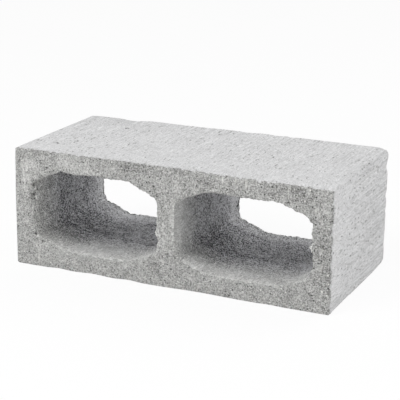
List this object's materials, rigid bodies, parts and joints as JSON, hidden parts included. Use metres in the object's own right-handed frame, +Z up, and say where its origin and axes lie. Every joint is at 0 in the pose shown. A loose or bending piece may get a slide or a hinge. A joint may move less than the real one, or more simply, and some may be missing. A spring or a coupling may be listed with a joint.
{
  "type": "hollow concrete block",
  "caption": "Hollow concrete wall block lying on its face shell, with tapered through cores, haunched core corners, worn mould edges and a ragged struck edge.",
  "frame": {"origin": "middle of the face shell that the block lies on", "axes": "+X along the block's length, +Y along the cores from the bed face with thick walls to the one with thin walls, +Z up through the wall's thickness, from one face shell to the other"},
  "size_m": [0.3968, 0.1938, 0.1429],
  "materials": {
    "concrete": "matte"
  },
  "bodies": {
    "root": {"concrete_block": "concrete"}
  },
  "joints": []
}
